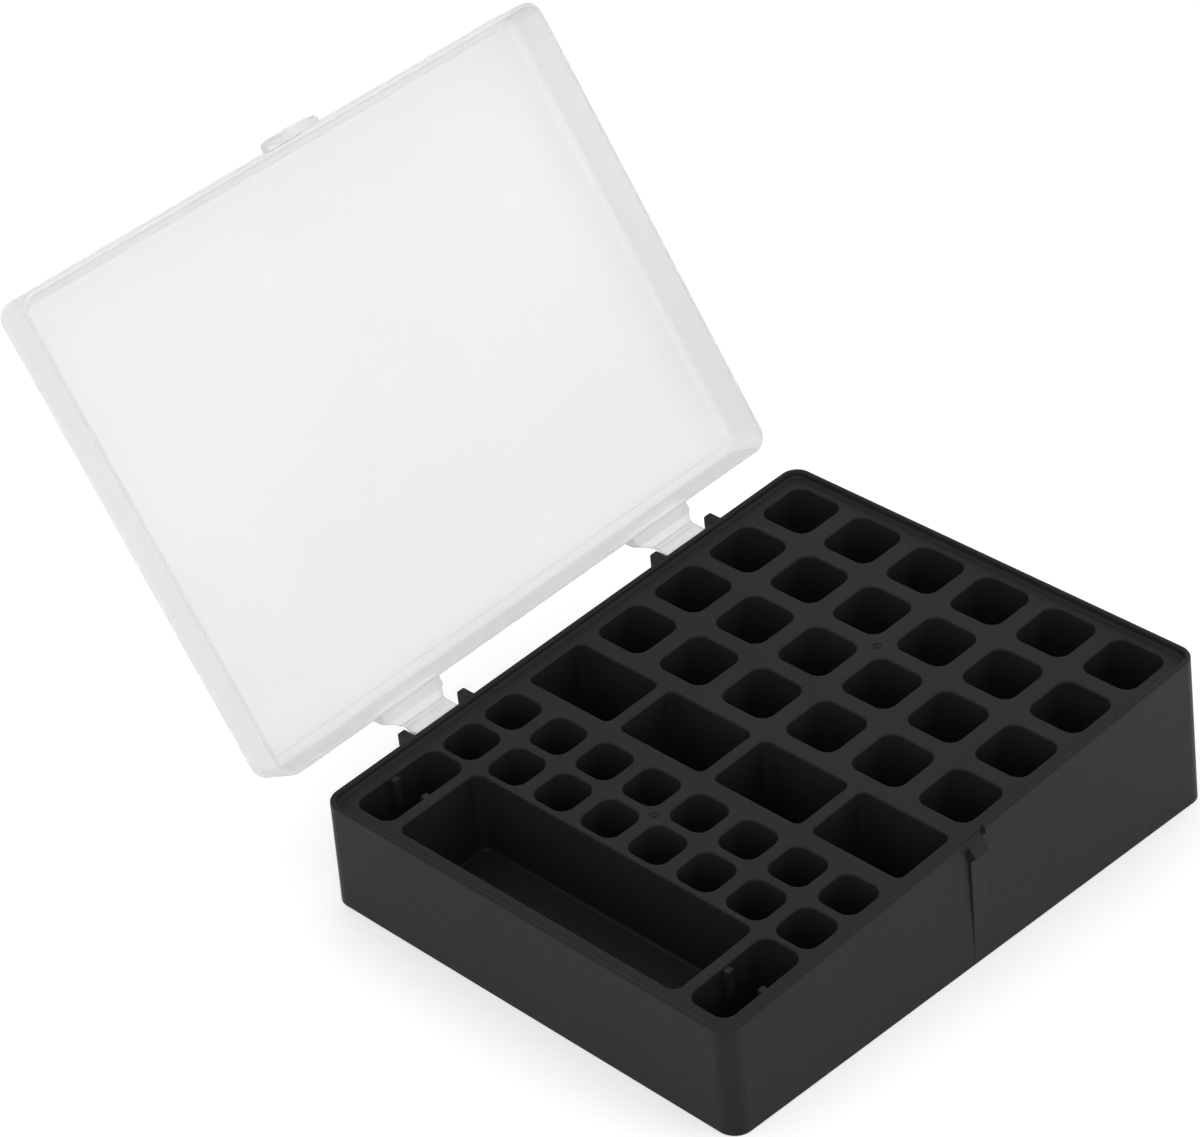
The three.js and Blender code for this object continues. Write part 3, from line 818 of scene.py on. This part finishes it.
def milky_plastic():
    """Natural polypropylene: milky and translucent, and the lamps shine through it on to what lies behind."""
    material, nodes, links, shader = new_material("milky_polypropylene")
    coordinates = nodes.new("ShaderNodeTexCoord")
    colour = varied_colour(nodes, links, coordinates, scale=14, low=(0.88, 0.88, 0.88), high=(0.9, 0.9, 0.9))
    roughness = varied_value(nodes, links, coordinates, scale=500, low=0.2, high=0.27)
    normal = grain(nodes, links, coordinates, scale=1800, strength=0.08, distance=0.00004)
    links.new(colour, shader.inputs["Base Color"])
    links.new(roughness, shader.inputs["Roughness"])
    links.new(normal, shader.inputs["Normal"])
    shader.inputs["IOR"].default_value = 1.3
    shader.inputs["Transmission Weight"].default_value = 0.5

    path = nodes.new("ShaderNodeLightPath")
    passed = calculate(nodes, links, "MULTIPLY", path.outputs["Is Shadow Ray"], LIGHT_PASSED)
    clear = nodes.new("ShaderNodeBsdfTransparent")
    mix = nodes.new("ShaderNodeMixShader")
    links.new(passed, mix.inputs[0])
    links.new(shader.outputs[0], mix.inputs[1])
    links.new(clear.outputs[0], mix.inputs[2])
    links.new(mix.outputs[0], nodes["Material Output"].inputs["Surface"])
    return material


def place(obj, material, finish, body_name, *replaced):
    """Gives a piece its material and its body, and hides the nodes that it stands for. The finish is not
    used.
    """
    obj.data.materials.clear()
    obj.data.materials.append(material)
    if body_name:
        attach(obj, body_name)
    if replaced:
        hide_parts(*replaced)


def make_case():
    """Both mouldings and the living hinges between them."""
    black = black_plastic()
    milky = milky_plastic()
    leaves = {"hinge_leaf_left", "hinge_leaf_right"}
    base_nodes = sorted(set(frame["record"]["behaviour"]["bodies"]["base"]) - leaves)
    place(make_base(), black, "base_plastic", "base", *base_nodes)
    place(make_lid(), milky, "lid_plastic", "lid", "lid_shell", "hinge_flange_left", "hinge_flange_right")
    place(make_tongue(), milky, "lid_plastic", "latch", "latch_tongue")
    for side, centre in zip(("left", "right"), HINGE_CENTRES):
        place(make_leaf(f"leaf_{side}", centre), milky, "lid_plastic", "base", f"hinge_leaf_{side}")
        place(make_film(f"living_hinge_{side}", centre), milky, "lid_plastic", None)


def make_floor():
    """A pale floor that keeps the shadow, and glows a little more far from the case, up to white."""
    bm = bmesh.new()
    bmesh.ops.create_grid(bm, x_segments=1, y_segments=1, size=FLOOR_HALF)
    floor = body("floor", bm)
    floor.location = (0, 0, -FLOOR_DROP)
    material, nodes, links, shader = new_material("pale_floor")
    shader.inputs["Base Color"].default_value = (0.88, 0.88, 0.88, 1)
    shader.inputs["Roughness"].default_value = 0.9
    shader.inputs["Specular IOR Level"].default_value = 0.1
    shader.inputs["Emission Color"].default_value = (1, 1, 1, 1)
    coordinates = nodes.new("ShaderNodeTexCoord")
    distance = nodes.new("ShaderNodeVectorMath")
    distance.operation = "LENGTH"
    links.new(coordinates.outputs["Object"], distance.inputs[0])
    fade = map_range(nodes, links, distance.outputs["Value"], FADE_DISTANCES, FADE_STRENGTHS)
    glow = calculate(nodes, links, "MULTIPLY", seen_rays(nodes, links), fade)
    links.new(glow, shader.inputs["Emission Strength"])
    floor.data.materials.append(material)


def make_world():
    """A white surround, a little dimmer as a lamp than it is seen."""
    world = bpy.data.worlds.new("white_surround")
    bpy.context.scene.world = world
    world.use_nodes = True
    nodes, links = world.node_tree.nodes, world.node_tree.links
    background = nodes["Background"]
    background.inputs["Color"].default_value = (1, 1, 1, 1)
    strength = map_range(nodes, links, seen_rays(nodes, links), (0, 1), WORLD_STRENGTHS)
    links.new(strength, background.inputs["Strength"])


def make_lamps():
    """Soft lamps that face the middle of the floor."""
    for name, place_m, side, power in LAMPS:
        lamp = bpy.data.lights.new(name, "AREA")
        lamp.shape = "SQUARE"
        lamp.size = side
        lamp.energy = power
        obj = bpy.data.objects.new(name, lamp)
        obj.location = place_m
        obj.rotation_euler = (-Vector(place_m)).to_track_quat("-Z", "Y").to_euler()
        bpy.context.scene.collection.objects.link(obj)


def make_camera():
    """The photograph's view, solved in the rim's frame."""
    place_mm = Vector((-544.6, -544.9, 631.3))
    forward = Vector((0.5387, 0.5911, -0.6003))
    right = Vector((0.6887, -0.7194, -0.0903))
    up = right.cross(forward)
    data = bpy.data.cameras.new("camera")
    data.sensor_fit = "HORIZONTAL"
    data.sensor_width = 36
    data.lens = 121.5
    data.clip_start = 0.01
    data.clip_end = 50
    camera = bpy.data.objects.new("camera", data)
    axes = Matrix((turn @ right, turn @ up, -(turn @ forward))).transposed()
    camera.matrix_world = Matrix.Translation(RIM @ place_mm) @ axes.to_4x4()
    bpy.context.scene.collection.objects.link(camera)
    bpy.context.scene.camera = camera


make_case()
make_floor()
make_world()
make_lamps()
make_camera()
bpy.context.scene.view_settings.view_transform = "Standard"
